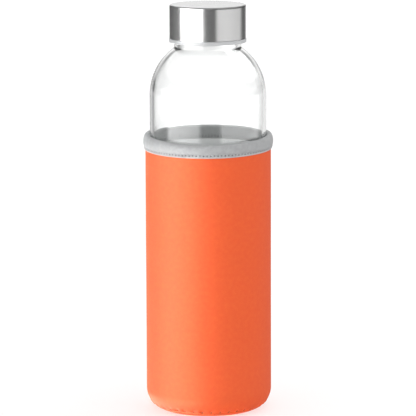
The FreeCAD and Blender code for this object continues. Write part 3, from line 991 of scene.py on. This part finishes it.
@dataclass
class GlassBottle:
    """The blown bottle: heel, wall, round shoulder, neck with bead and thread."""

    screw: Thread
    wall: float = 2.1 * MM
    floor: float = 4.5 * MM
    heel: float = 9.4 * MM
    dome_centre: float = 177.8 * MM
    neck: float = 18.6 * MM
    mouth: float = 15.6 * MM
    neck_fillet: float = 0.9 * MM
    bead_top: float = 209.0 * MM
    push_up: float = 1.4 * MM
    foot_ring: float = 20.4 * MM
    foot_round: float = 1.2 * MM
    rim_round: float = 0.7 * MM
    rim_land: float = 0.9 * MM
    thread_row: float = 0.16 * MM
    radius: float = field(init=False)
    bottom: float = field(init=False)
    rim: float = field(init=False)
    root: float = field(init=False)

    def __post_init__(self) -> None:
        """Takes the outer sizes from the model."""
        low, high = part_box("glass_bottle")
        self.radius, self.bottom, self.rim = high.x, low.z, high.z
        self.root = self.neck - self.screw.depth

    def _shoulder(self, dome: float, neck: float, fillet: float, steps: int) -> list[Point]:
        """A dome that runs into a neck through a hollow fillet.

        The fillet's centre is one fillet outside both: at the neck's radius plus the fillet, and
        at the dome's radius plus the fillet from the dome's centre.

        Args:
            dome: radius of the dome.
            neck: radius of the neck.
            fillet: radius of the hollow.
            steps: chords of the dome.

        Returns:
            The points from the dome's equator to the neck.
        """
        rise = math.sqrt((dome + fillet) ** 2 - (neck + fillet) ** 2)
        centre = (neck + fillet, self.dome_centre + rise)
        foot = math.degrees(math.atan2(centre[1] - self.dome_centre, centre[0]))
        points = arc((0.0, self.dome_centre), dome, 0.0, foot, steps)
        return points + arc(centre, fillet, foot - 180, -180, 8)[1:]

    def _profile(self) -> list[Point]:
        """The glass section, from the middle of the base out, up, over the rim and down inside.

        Returns:
            The outline from axis to axis, as (radius, height) points.
        """
        r, wall, heel, root = self.radius, self.wall, self.heel, self.root
        inner_heel = heel - wall
        floor = self.bottom + self.floor
        rim, rim_edge = self.rim, self.mouth + self.rim_land
        outer = [(0.0, self.bottom + self.push_up), (9 * MM, self.bottom + 0.8 * self.push_up)]
        ring = (self.foot_ring, self.bottom + self.foot_round)
        outer += arc(ring, self.foot_round, -140, -90, 5)
        outer += [(r - heel - 0.5 * MM, self.bottom)]
        outer += arc((r - heel, self.bottom + heel), heel, -90, 0, 18)
        outer += [(r, self.bottom + heel + 1 * MM), (r, self.dome_centre - 1 * MM)]
        outer += self._shoulder(r, self.neck, self.neck_fillet, 40)
        outer += softened([
            (self.neck, self.bead_top - 2 * MM, 0), (self.neck, self.bead_top - 0.2 * MM, 0.6 * MM),
            (root, self.bead_top + 0.3 * MM, 0.5 * MM), (root, rim, self.rim_round),
            (rim_edge, rim, 0)], 6)[1:]
        inner = softened([(rim_edge, rim, 0), (self.mouth, rim, self.rim_round),
                          (self.mouth, rim - 4 * MM, 0)], 6)[1:]
        inside = r - wall
        inner += self._shoulder(inside, self.mouth, self.neck_fillet + wall, 40)[::-1]
        inner += [(inside, self.dome_centre - 1 * MM), (inside, floor + inner_heel + 1 * MM)]
        inner += arc((inside - inner_heel, floor + inner_heel), inner_heel, 0, -90, 14)
        inner += [(12 * MM, floor + 0.2 * MM), (0.0, floor + 0.5 * MM)]
        return self._dense_finish(divided(outer, 9 * MM)) + divided(inner, 9 * MM)

    def _dense_finish(self, outline: list[Point]) -> list[Point]:
        """The outline with short runs over the screw finish, for the thread to stand on.

        Args:
            outline: (radius, height) points.

        Returns:
            The outline with the added points.
        """
        result = [outline[0]]
        for start, end in zip(outline, outline[1:]):
            on_finish = abs(start[0] - self.root) < 1e-6 and abs(end[0] - self.root) < 1e-6
            result += divided([start, end], self.thread_row if on_finish else 1.0)[1:]
        return result

    def _thread(self, radius: Array, angle: Array, height: Array) -> tuple[Array, Array]:
        """The thread's rib on the outside of the neck.

        Args:
            radius: distances from the axis.
            angle: angles about it.
            height: heights.

        Returns:
            How far each point moves outwards and upwards.
        """
        rib = helix_rib(angle, height, self.screw.start(self.rim), self.screw.lead,
                        self.screw.glass_turns, 1.9 * MM, 0.7 * MM)
        outside = np.abs(radius - self.root) < 1e-6
        return np.where(outside, rib * self.screw.depth, 0.0), np.zeros_like(radius)

    def build(self) -> None:
        """Builds and dresses the bottle."""
        piece = turned("bottle_glass", self._profile(), ClearGlass().material(), 256,
                       offset=self._thread)
        dress(piece, Body.BOTTLE, "glass_bottle", "clear_glass")


# ---- cap
@dataclass
class Cap:
    """Steel shell, plastic insert with its flange and thread, and sealing ring."""

    screw: Thread
    bottle: GlassBottle
    shell_wall: float = 0.5 * MM
    top_round: float = 0.9 * MM
    lip_round: float = 0.18 * MM
    flange_round: float = 0.4 * MM
    ring_bore: float = 14.9 * MM
    ring_round: float = 0.3 * MM

    def build(self) -> None:
        """Builds and dresses the cap's three pieces."""
        self._shell()
        self._insert()
        self._gasket()

    def _shell(self) -> None:
        """The drawn steel cup: wall, rounded edge, slightly crowned top, hollow underneath."""
        low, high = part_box("cap_shell")
        r, top, foot = high.x, high.z, low.z
        wall = self.shell_wall
        profile = softened([
            (0.0, top, 0), (r, top, self.top_round), (r, foot, self.lip_round),
            (r - wall, foot, self.lip_round), (r - wall, top - wall, self.top_round - wall),
            (0.0, top - wall, 0)], 7)
        steel = BrushedSteel().material(top)
        piece = turned("cap_steel_shell", divided(profile, 4 * MM), steel)
        dress(piece, Body.CAP, "cap_shell", "cap_steel")

    def _insert(self) -> None:
        """The moulded insert: fills the shell, shows as a flange, carries the female thread."""
        low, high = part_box("cap_liner")
        shell_low, shell_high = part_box("cap_shell")
        barrel = shell_high.x - self.shell_wall
        bore = self.bottle.neck + self.screw.clearance
        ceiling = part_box("cap_gasket")[1].z
        flange = high.x
        outer = softened([
            (0.0, high.z, 0), (barrel, high.z, 0.4 * MM), (barrel, shell_low.z, 0.05 * MM),
            (flange, shell_low.z, 0.12 * MM), (flange, low.z, self.flange_round),
            (bore, low.z, 0.25 * MM), (bore, low.z + 2 * MM, 0)])
        inner = divided([(bore, low.z + 2 * MM), (bore, ceiling - 1 * MM)], self.bottle.thread_row)
        roof = softened([(bore, ceiling - 1 * MM, 0), (bore, ceiling, 0.3 * MM), (0.0, ceiling, 0)])
        plastic = MouldedPlastic("satin_grey_plastic", rgb(0.53, 0.535, 0.545),
                                 rgb(0.48, 0.485, 0.495), 0.34, subsurface=0.08)
        start = self.screw.start(self.bottle.rim) - self.screw.lead / 2

        def rib(radius: Array, angle: Array, height: Array) -> tuple[Array, Array]:
            """The female thread's rib, inwards from the bore.

            Args:
                radius: distances from the axis.
                angle: angles about it.
                height: heights.

            Returns:
                How far each point moves outwards and upwards.
            """
            stands = helix_rib(angle, height, start, self.screw.lead, self.screw.cap_turns,
                               1.1 * MM, 0.4 * MM)
            in_bore = np.abs(radius - bore) < 1e-6
            return np.where(in_bore, -stands * self.screw.depth, 0.0), np.zeros_like(radius)

        profile = outer[:-1] + inner + roof[1:]
        piece = turned("cap_insert", profile, plastic.material(), 192, offset=rib)
        dress(piece, Body.CAP, "cap_liner", "cap_plastic")

    def _gasket(self) -> None:
        """The silicone ring, with the shallow mark that the rim has pressed into it."""
        low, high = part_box("cap_gasket")
        outside, inside, bend = high.x, self.ring_bore, self.ring_round
        middle, pressed = (outside + inside) / 2, low.z + 0.1 * MM
        section = softened([
            (middle, high.z, 0), (outside, high.z, bend), (outside, low.z, bend),
            (middle + 1.0 * MM, low.z, 0), (middle + 0.8 * MM, pressed, 0),
            (middle - 0.8 * MM, pressed, 0), (middle - 1.0 * MM, low.z, 0),
            (inside, low.z, bend), (inside, high.z, bend), (middle, high.z, 0)])[:-1]
        silicone = MouldedPlastic("silicone", rgb(0.74, 0.75, 0.75), rgb(0.66, 0.67, 0.67), 0.5,
                                  subsurface=0.3)
        piece = turned("cap_sealing_ring", section, silicone.material(), 128, closed=True)
        dress(piece, Body.CAP_SEAL, "cap_gasket", "gasket_silicone")


# ---- sleeve
@dataclass
class Layer:
    """One layer of the sleeve, in its tube and in its base disc."""

    piece: str
    node: str
    slot: str
    inner: float
    outer: float
    top: float
    material: bpy.types.Material
    offset: Optional[Offset]


@dataclass
class Sleeve:
    """The sewn neoprene sleeve: tube and base disc, each of three layers, and its seams."""

    corner: float = 12.0 * MM
    seam_angle: float = 49.0
    face: float = 0.35 * MM
    foam: float = 1.7 * MM
    lining: float = 0.35 * MM
    base_pitch: float = 5.0 * MM
    back_pitch: float = 3.2 * MM
    back_half_width: float = 1.5 * MM
    stitch_radius: float = 0.2 * MM
    columns: int = 468
    radius: float = field(init=False)
    top: float = field(init=False)
    lining_top: float = field(init=False)

    def __post_init__(self) -> None:
        """Takes the outer sizes from the model."""
        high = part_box("sleeve_face")[1]
        self.radius, self.top = high.x, high.z
        self.lining_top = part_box("sleeve_lining")[1].z
        self.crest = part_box("top_binding")[1].z
        self.centre = (self.radius - self.corner, self.corner)
        self.seam = math.radians(self.seam_angle)
        self.seam_radius = self.centre[0] + self.corner * math.cos(self.seam)
        self.seam_height = self.corner - self.corner * math.sin(self.seam)
        self.stitch_count = round(TURN * self.seam_radius / self.base_pitch)
        self.body = Waves(11, (2, 9))
        self.fine = Waves(23, (9, 34), 12)

    def skin(self) -> Knit:
        """The orange knit, with painted shade in the pit at each stitch of the base seam.

        Returns:
            The finish.
        """
        row = self.seam_height + 0.3 * MM
        # Painted shade: a deep orange-brown spot in the pit at each base seam stitch.
        pits = PitShadeRow(self.stitch_count, row, 0.62 * MM, 0.95 * MM, 0.9, shift=0.5)
        return Knit("orange_knit", rgb(0.80, 0.060, 0.001), rgb(0.85, 0.12, 0.01),
                    rgb(0.70, 0.042, 0.001), depth=0.05 * MM, sheen=0.0, specular=1.0,
                    specular_tint=rgb(0.0, 1.0, 0.7), roughness=0.56,
                    pit_shade=rgb(0.36, 0.03, 0.004), pits=(pits,))

    def grey(self) -> Knit:
        """The grey lining knit."""
        return Knit("grey_lining_knit", rgb(0.74, 0.74, 0.745), rgb(0.82, 0.82, 0.825),
                    rgb(0.62, 0.62, 0.625), mottle=0.3)

    def build(self) -> None:
        """Builds and dresses the sleeve's pieces, from the skin inwards."""
        skin, grey, foam = self.skin().material(), self.grey().material(), CellFoam().material()
        faces = np.cumsum([self.radius, -self.face, -self.foam, -self.lining])
        names = (("skin", "face", "sleeve_knit"), ("core", "foam", "neoprene_foam"),
                 ("inside", "lining", "lining_knit"))
        makes = ((self.top, skin, self._relief), (self.top, foam, self._inset),
                 (self.lining_top, grey, None))
        layers = [Layer(*name, inner, outer, *make)
                  for name, outer, inner, make in zip(names, faces, faces[1:], makes)]
        for part, shape in (("sleeve", self._tube), ("base", self._disc)):
            for layer in layers:
                piece = shape(f"{part}_{layer.piece}", layer)
                dress(piece, Body.SLEEVE, f"{part}_{layer.node}", layer.slot)
        self._base_stitches()
        self._back_stitches()

    def _tube(self, name: str, layer: Layer) -> bpy.types.Object:
        """A layer's tube, from the base seam up to a cut edge.

        Args:
            name: the piece's name.
            layer: the layer.

        Returns:
            The object.
        """
        inner, outer, top = layer.inner, layer.outer, layer.top
        out = arc(self.centre, outer - self.centre[0], -self.seam_angle, 0, 34)
        back = arc(self.centre, inner - self.centre[0], 0, -self.seam_angle, 16)
        profile = out + divided([(outer, self.corner), (outer, top)], 2.5 * MM)[1:]
        profile += divided([(inner, top), (inner, self.corner)], 8 * MM)[:-1] + back
        return turned(name, profile, layer.material, self.columns, True, layer.offset)

    def _disc(self, name: str, layer: Layer) -> bpy.types.Object:
        """A layer's base disc, flat with an edge that curls up to the seam.

        Args:
            name: the piece's name.
            layer: the layer.

        Returns:
            The object.
        """
        reach_out, reach_in = layer.outer - self.centre[0], layer.inner - self.centre[0]
        low, high = self.corner - reach_out, self.corner - reach_in
        profile = divided([(0.0, low), (self.centre[0], low)], 3 * MM)[:-1]
        profile += arc(self.centre, reach_out, -90, -self.seam_angle, 26)
        profile += arc(self.centre, reach_in, -self.seam_angle, -90, 12)
        profile += divided([(self.centre[0], high), (0.0, high)], 6 * MM)[1:]
        return turned(name, profile, layer.material, self.columns, offset=layer.offset)

    def _corner(self, radius: Array, height: Array) -> tuple[Array, Array, Array, Array]:
        """Where points lie about the bottom corner.

        Args:
            radius: distances from the axis.
            height: heights.

        Returns:
            The distance above the base seam along the corner, the distance from the axis that
            the point's layer has on the wall, and the outward direction's two parts.
        """
        across, up = radius - self.centre[0], height - self.corner
        reach = np.hypot(across, up)
        on_wall = height > self.corner
        distance = np.where(on_wall, self.seam * self.corner + up,
                            (np.arctan2(up, across) + self.seam) * self.corner)
        layer = np.where(on_wall, radius, self.centre[0] + reach)
        length = np.maximum(reach, 1e-9)
        return (distance, layer, np.where(on_wall, 1.0, across / length),
                np.where(on_wall, 0.0, up / length))

    def _relief(self, radius: Array, angle: Array, height: Array) -> tuple[Array, Array]:
        """The skin's shape: a pulled-in base seam with a pit at each stitch and a puff beside it.

        Above the seam the pit is a bell across the stitch times a bell up the skin, the puff is a
        broader bell set to one side, and the whole seam sinks in a narrow bell. Below it the disc's
        edge stands out as a thin lip. The wall itself is uneven by a tenth of a millimetre.

        Args:
            radius: distances from the axis.
            angle: angles about it.
            height: heights.

        Returns:
            How far each point moves outwards and upwards.
        """
        distance, layer, out_r, out_z = self._corner(radius, height)
        pitch = TURN * self.seam_radius / self.stitch_count
        round_it = (angle % TURN) * self.seam_radius + pitch / 2
        uneven = self.fine(angle, height * 0.0)
        pit = bell(to_nearest(round_it, pitch), 0.62 * MM) * bell(distance - 0.5 * MM, 1.15 * MM)
        puff = bell(to_nearest(round_it + 1.9 * MM, pitch), 1.25 * MM)
        puff = puff * bell(distance - 1.7 * MM, 1.5 * MM)
        groove = bell(distance, 0.55 * MM)
        lip = bell(distance + 1.0 * MM, 0.6 * MM)
        push = (-0.55 * pit * (1 + 0.4 * uneven) + 0.34 * puff * (1 + 0.8 * uneven)
                - 0.42 * groove + 0.16 * lip) * MM
        push = push * smoothstep((distance + 3.0 * MM) / (1.5 * MM))
        wall = smoothstep((height - 20 * MM) / (20 * MM))
        wall = wall * smoothstep((self.top - 9 * MM - height) / (12 * MM))
        push = push + 0.10 * MM * self.body(angle, height) * wall
        push = np.where(layer > self.radius - self.face / 2, push, 0.0)
        return push * out_r, push * out_z - self._dip(angle, height)

    def _dip(self, angle: Array, height: Array) -> Array:
        """The drop of the tube's cut edge, which follows the binding's."""
        return hem_dip(angle, height, self.lining_top, self.crest)

    def _inset(self, radius: Array, angle: Array, height: Array) -> tuple[Array, Array]:
        """Draws the foam back from the base seam, so that no pit of the skin reaches it.

        Args:
            radius: distances from the axis.
            angle: angles about it.
            height: heights.

        Returns:
            How far each point moves outwards and upwards.
        """
        distance, layer, out_r, out_z = self._corner(radius, height)
        outside = layer > self.radius - self.face - self.foam / 2
        push = np.where(outside, -(0.95 * bell(distance, 2.4 * MM) + 0.08) * MM, 0.0)
        return push * out_r, push * out_z - self._dip(angle, height)

    def _base_stitches(self) -> None:
        """The base seam's stitches: each runs across the seam and dips into its pit."""
        angle = (np.arange(self.stitch_count) + 0.5) * TURN / self.stitch_count
        bent = (0.35 * MM + STITCH * 1.15 * MM) / self.corner - self.seam
        reach = self.corner - 0.30 * MM - 0.42 * MM * STITCH ** 2
        turn = angle[:, None] + STITCH * 0.25 * MM / self.seam_radius
        paths = around(self.centre[0] + reach * np.cos(bent), turn,
                       self.corner + reach * np.sin(bent))
        thread = SewingThread("orange_thread", rgb(0.50, 0.07, 0.008), rgb(0.25, 0.025, 0.004))
        piece = threads("base_seam_thread", paths, self.stitch_radius, thread.material())
        dress(piece, Body.SLEEVE, "base_seam_stitches", "seam_thread")

    def _back_stitches(self) -> None:
        """The back seam's zigzag, a little sunk in the skin."""
        low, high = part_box("back_seam_stitches")
        index = np.arange(int((high.z - low.z) / self.back_pitch))[:, None]
        across = zigzag(index) * STITCH * self.back_half_width
        z = low.z + 0.2 * MM + (index + (STITCH + 1) / 2 * 0.96) * self.back_pitch
        seat = self.radius + 0.08 * MM - 0.25 * MM * STITCH ** 4
        paths = around(seat, BACK_SEAM_ANGLE + across / self.radius, z)
        thread = SewingThread("back_seam_orange_thread", rgb(0.72, 0.12, 0.02),
                              rgb(0.45, 0.05, 0.01))
        piece = threads("back_seam_thread", paths, self.stitch_radius, thread.material())
        dress(piece, Body.SLEEVE, "back_seam_stitches", "seam_thread")


# ---- binding
@dataclass
class Binding:
    """The soft knit tape rolled over the sleeve's top edge, with its row of zigzag stitches."""

    sleeve: Sleeve
    pitch: float = 2.0 * MM
    stitch_rise: float = 1.5 * MM
    inner_rise: float = 1.4 * MM
    thread_radius: float = 0.2 * MM
    lip: float = 0.3 * MM
    bulge_drop: float = 4.2 * MM
    contact_drop: float = 1.0 * MM
    clearance: float = 0.2 * MM
    columns: int = 666

    def __post_init__(self) -> None:
        """Takes the outer sizes from the model."""
        low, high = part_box("top_binding")
        self.low, self.crest, self.bulge = low.z, high.z, high.x
        self.bulge_height = self.crest - self.bulge_drop
        self.contact_height = self.crest - self.contact_drop
        self.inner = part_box("glass_bottle")[1].x + self.clearance
        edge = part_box("sleeve_lining")[1]
        self.ledge, self.inner_foot = edge.x, edge.z
        self.row = self.low + self.stitch_rise
        self.inner_row = self.inner_foot + self.inner_rise
        self.count = round(TURN * (self.sleeve.radius + self.lip) / self.pitch)
        self.body = Waves(5, (2, 13), 9)
        self.fine = Waves(41, (20, 60), 12)

    def build(self) -> None:
        """Builds and dresses the tape and its stitches."""
        middle = self.sleeve.radius - 0.6 * MM
        # Painted shade in the needle pits: the outer zigzag row's, and the inner row's that faces
        # the glass.
        pits = (PitShadeRow(self.count, self.row - 0.15 * MM, 0.6 * MM, 0.62 * MM, 0.95,
                       lifted=self._lift_share(self.row), outside_of=middle),
                PitShadeRow(self.count, self.inner_row, 0.8 * MM, 1.0 * MM, 1.0, shift=0.5,
                       inside_of=middle))
        band = EdgeBand(self.low + 0.75 * MM, 0.3 * MM, rgb(0.47, 0.48, 0.49), lifted=1.0)
        tape = Knit("grey_binding_knit", rgb(0.34, 0.345, 0.35), rgb(0.46, 0.465, 0.47),
                    rgb(0.235, 0.24, 0.245), wale=0.55 * MM, course=0.8 * MM, depth=0.08 * MM,
                    mottle=0.5, sheen=0.05, specular=0.6, roughness=0.56, fuzz=0.6,
                    pits=pits, band=band)
        piece = turned("top_binding_tape", self._profile(), tape.material(), self.columns, True,
                       self._relief)
        dress(piece, Body.SLEEVE, "top_binding", "binding_knit")
        self._width()
        self._stitches()

    def _profile(self) -> list[Point]:
        """The rolled tape's section, from its outer lower edge over the crest to the inner foot.

        Returns:
            The closed outline, as (radius, height) points.
        """
        foot, top = self.sleeve.radius, self.sleeve.top
        middle = (self.inner + self.bulge) / 2
        turn = np.radians(np.linspace(0, 90, 15))
        half = self.bulge - middle
        out = [(middle + half * math.cos(a), self.bulge_height
                + (self.crest - self.bulge_height) * math.sin(a)) for a in turn]
        back = [(middle - half * math.cos(a), self.contact_height
                 + (self.crest - self.contact_height) * math.sin(a)) for a in turn[::-1]][1:]
        rise = np.linspace(0, 1, 26)
        swell = np.sin(rise * math.pi / 2) ** 0.8
        lower = [(foot + self.lip + (self.bulge - foot - self.lip) * s,
                  self.low + t * (self.bulge_height - self.low)) for t, s in zip(rise, swell)]
        inside = divided([back[-1], (self.inner, self.inner_foot)], 0.4 * MM)[1:]
        core = [(self.ledge, self.inner_foot), (self.ledge, top - 0.5 * MM),
                (self.ledge + 0.4 * MM, top), (foot - 0.4 * MM, top), (foot, top - 0.5 * MM),
                (foot, self.low)]
        return lower + out[1:] + back + inside + divided(core, 2 * MM)[1:]

    def _width(self) -> float:
        """The tape's width unfolded: its outer lower edge, over the crest, to the inner foot.

        Returns:
            The width, in metres.
        """
        points = np.array(self._profile())
        at_foot = (points[:, 1] <= self.inner_foot + 1e-6) & (points[:, 0] < self.ledge - 1e-6)
        last = int(np.flatnonzero(at_foot)[0])
        return float(np.linalg.norm(np.diff(points[:last + 1], axis=0), axis=1).sum())

    def _relief(self, radius: Array, angle: Array, height: Array) -> tuple[Array, Array]:
        """The tape's softness: a wandering crest, a sewn groove with a pit at each stitch, and
        the small puffs between the pits; the inner leg has the same pits, facing the glass.

        Args:
            radius: distances from the axis.
            angle: angles about it.
            height: heights.

        Returns:
            How far each point moves outwards and upwards.
        """
        skin = self.sleeve.radius
        pitch = TURN / self.count * skin
        near = bell(to_nearest((angle % TURN) * skin, pitch), 0.30 * pitch)
        groove = bell(height - self.row, 0.75 * MM)
        flare = bell(height - self.low, 0.6 * MM)
        push = (-0.05 * groove - 0.36 * groove * near + 0.12 * flare) * MM
        push = np.where((radius > skin + 0.05 * MM) & (height < self.bulge_height), push, 0.0)
        inner_groove = bell(height - self.inner_row, 0.7 * MM) * (0.4 + 0.6 * near)
        push = push + np.where(np.abs(radius - self.inner) < 1e-6, 0.14 * MM * inner_groove, 0.0)
        wander = self.body(angle, height) * 0.30 * MM + self.fine(angle, height) * 0.16 * MM
        soft = smoothstep((height - self.low - 2 * MM) / (3 * MM))
        free = np.where(radius > self.inner + 0.6 * MM, soft, 0.0)
        push = push + wander * free * np.where(radius > skin - 0.4 * MM, 1.0, 0.4)
        rolled = smoothstep((height - self.bulge_height) / (3 * MM))
        lift = (self.body(angle + 1.0, height * 0) * 0.25 - 0.08) * MM * rolled
        outer_leg = radius > skin - 0.01 * MM
        lift = lift + np.where(outer_leg, edge_lift(angle) * self._lift_share(height), 0.0)
        return push, lift - hem_dip(angle, height, self.inner_foot, self.crest)

    def _lift_share(self, height: Union[float, Array]) -> Union[float, Array]:
        """The share of the lower edge's lift that a height of the outer leg takes part in."""
        return np.clip((self.bulge_height - height) / (self.bulge_height - self.low), 0.0, 1.0)

    def _stitches(self) -> bpy.types.Object:
        """The zigzag thread outside and the plain row inside, one short thread for each stitch.

        Returns:
            The object that holds both rows.
        """
        pitch = TURN / self.count
        index = np.arange(self.count)[:, None]
        turn = (index + 0.5 + 0.5 * STITCH) * pitch
        z = self.row + zigzag(index) * STITCH * 0.38 * MM
        seat = self.sleeve.radius + self.lip + 0.42 * MM - 0.42 * MM * STITCH ** 2
        outer = around(seat, turn, z + edge_lift(turn) * self._lift_share(self.row))
        inner_turn = (index + 0.5 + 0.42 * STITCH) * pitch
        inner = around(self.inner + 0.13 * MM + 0.14 * MM * STITCH ** 2, inner_turn, self.inner_row)
        thread = SewingThread("grey_thread", rgb(0.50, 0.51, 0.52), rgb(0.36, 0.365, 0.37))
        piece = threads("binding_thread", np.concatenate([outer, inner]), self.thread_radius,
                        thread.material())
        return dress(piece, Body.SLEEVE, "binding_stitches", "binding_thread")


# ---- studio
@dataclass
class Studio:
    """Pale floor, soft light from all round with two large softboxes, and the camera."""

    distance: float = 1.8
    height: float = 0.4058
    pitch_degrees: float = 9.21
    roll_degrees: float = -0.2
    sideways: float = -0.0002
    lens: float = 281.4
    floor_size: float = 30.0
    floor_glow: float = 0.6
    dark: float = 0.67
    left_box: float = 25.0
    dimmed: float = 0.828
    left_span: tuple = (-93, -83, -23, -10)
    right_span: tuple = (20, 32, 108, 130)
    reflector_span: tuple = (-165, -145, -85, -70)
    level_heights: tuple = (-0.19, -0.17, -0.07, -0.05)
    tall_heights: tuple = (-0.85, -0.7, 0.12, 0.3)
    low_heights: tuple = (-0.9, -0.8, -0.4, -0.3)
    over_heights: tuple = (0.04, 0.08, 0.26, 0.36)
    backdrop_heights: tuple = (-0.55, -0.35, 0.08, 0.25)
    right_box: float = 2.6
    reflector: float = 8.0
    edge_light: float = 0.45
    top_panel: float = 1.42
    backdrop: float = 1.17

    def build(self) -> None:
        """Sets the stage, the light and the camera."""
        self._floor()
        self._light()
        self._camera()

    def _floor(self) -> None:
        """A pale matte floor, which mirrors and glass don't see."""
        half = self.floor_size / 2
        corners = np.array([[-half, -half, 0], [half, -half, 0], [half, half, 0], [-half, half, 0]])
        material, g = new_material("pale_floor")
        speck = g.noise(g.place(), 3.0, 2.0)
        finish_surface(g, {
            "Base Color": g.blend(speck, rgb(0.40, 0.40, 0.40), rgb(0.42, 0.42, 0.42)),
            "Roughness": 0.9,
            "Specular IOR Level": 0.1,
            "Emission Color": rgb(1.0, 1.0, 1.0),
            "Emission Strength": self.floor_glow,
        })
        faces = [np.array([[0, 1, 2, 3]])]
        floor = mesh_object("pale_floor", corners, faces, corners[:, :2], material)
        floor.visible_glossy = False
        floor.visible_transmission = False

    def _light(self) -> None:
        """The world's light by kind of ray: mirrors see softboxes, glass and the eye see white.

        The softboxes are smooth steps of the compass direction, counted from the camera's side,
        and of the height above the horizon. Near the level of the eye they are dimmer, and sharp
        mirrors see the left box as dim as that at every height.
        """
        world = bpy.data.worlds.new("studio_light")
        scene = bpy.context.scene
        scene.world = world
        world.use_nodes = True
        world.cycles.sampling_method = "NONE"
        g = Graph(world.node_tree)
        x, y, z = g.parts(g.node("TexCoord").outputs["Generated"])
        azimuth = g.math("ARCTAN2", x, y * -1.0) * (180 / math.pi)
        away = abs(azimuth)
        ray = g.node("LightPath").outputs
        through = Value(g, ray["Is Transmission Ray"])
        sharp = g.math("MAXIMUM", Value(g, ray["Is Singular Ray"]), through)
        level = z.band(*self.level_heights)
        tall = z.band(*self.tall_heights) * (1.0 - sharp * self.dimmed)
        tall = tall - level * self.dimmed * (1.0 - sharp)
        left = azimuth.band(*self.left_span) * (1.0 - azimuth.ramp(-58, -20) * 0.3)
        right = azimuth.band(*self.right_span) * (1.0 - azimuth.ramp(50, 115) * 0.35)
        reflector = azimuth.band(*self.reflector_span) * z.band(*self.low_heights)
        behind = azimuth.ramp(145, 162) * self.edge_light
        dark = self.dark * (1.0 - away.ramp(105, 150) * 0.6)
        facing = away.ramp(158, 170) + (1.0 - away.ramp(8, 20)) * 0.6
        over = z.band(*self.over_heights) * (facing * 0.75 + 0.25) + z.ramp(0.3, 0.45) * 0.8
        mirrored = (0.02 + left * self.left_box * tall + reflector * self.reflector
                    + (right * self.right_box + behind + dark) * level + over * self.top_panel)
        soft = 1.0 + x * 0.18 + z * 0.10
        backdrop = (1.0 - azimuth.ramp(-173, -138)) + azimuth.ramp(120, 162)
        backdrop = backdrop * z.band(*self.backdrop_heights)
        beyond = mirrored + (self.backdrop - mirrored) * backdrop
        glossy = Value(g, ray["Is Glossy Ray"]) * (1.0 - through)
        diffuse = Value(g, ray["Is Diffuse Ray"]) * (1.0 - through)
        seen = through * beyond + (1.0 - through)
        strength = (glossy * mirrored + diffuse * soft
                    + (1.0 - glossy) * (1.0 - diffuse) * seen)
        light = g.node("Background", inputs={"Color": rgb(1.0, 1.0, 1.0), "Strength": strength})
        g.node("OutputWorld", inputs={"Surface": light.outputs[0]})
        scene.view_settings.view_transform = "Standard"
        scene.view_settings.look = "None"

    def _camera(self) -> None:
        """The camera, a little above the cap and looking down at the bottle's middle."""
        data = bpy.data.cameras.new("camera")
        data.lens = self.lens
        data.sensor_width = 36.0
        data.clip_end = 60.0
        camera = bpy.data.objects.new("camera", data)
        place = Matrix.Translation((self.sideways, -self.distance, self.height))
        pitch = Matrix.Rotation(math.radians(90 - self.pitch_degrees), 4, "X")
        roll = Matrix.Rotation(math.radians(self.roll_degrees), 4, "Z")
        camera.matrix_world = place @ pitch @ roll
        bpy.context.scene.collection.objects.link(camera)
        bpy.context.scene.camera = camera


def main() -> None:
    """Builds every sub-assembly in order and notes the visual model's size."""
    logging.basicConfig(level=logging.INFO, format="%(name)s: %(message)s")
    Studio().build()
    screw = Thread()
    bottle = GlassBottle(screw)
    bottle.build()
    Cap(screw, bottle).build()
    sleeve = Sleeve()
    sleeve.build()
    Binding(sleeve).build()


if __name__ == "__main__":
    main()
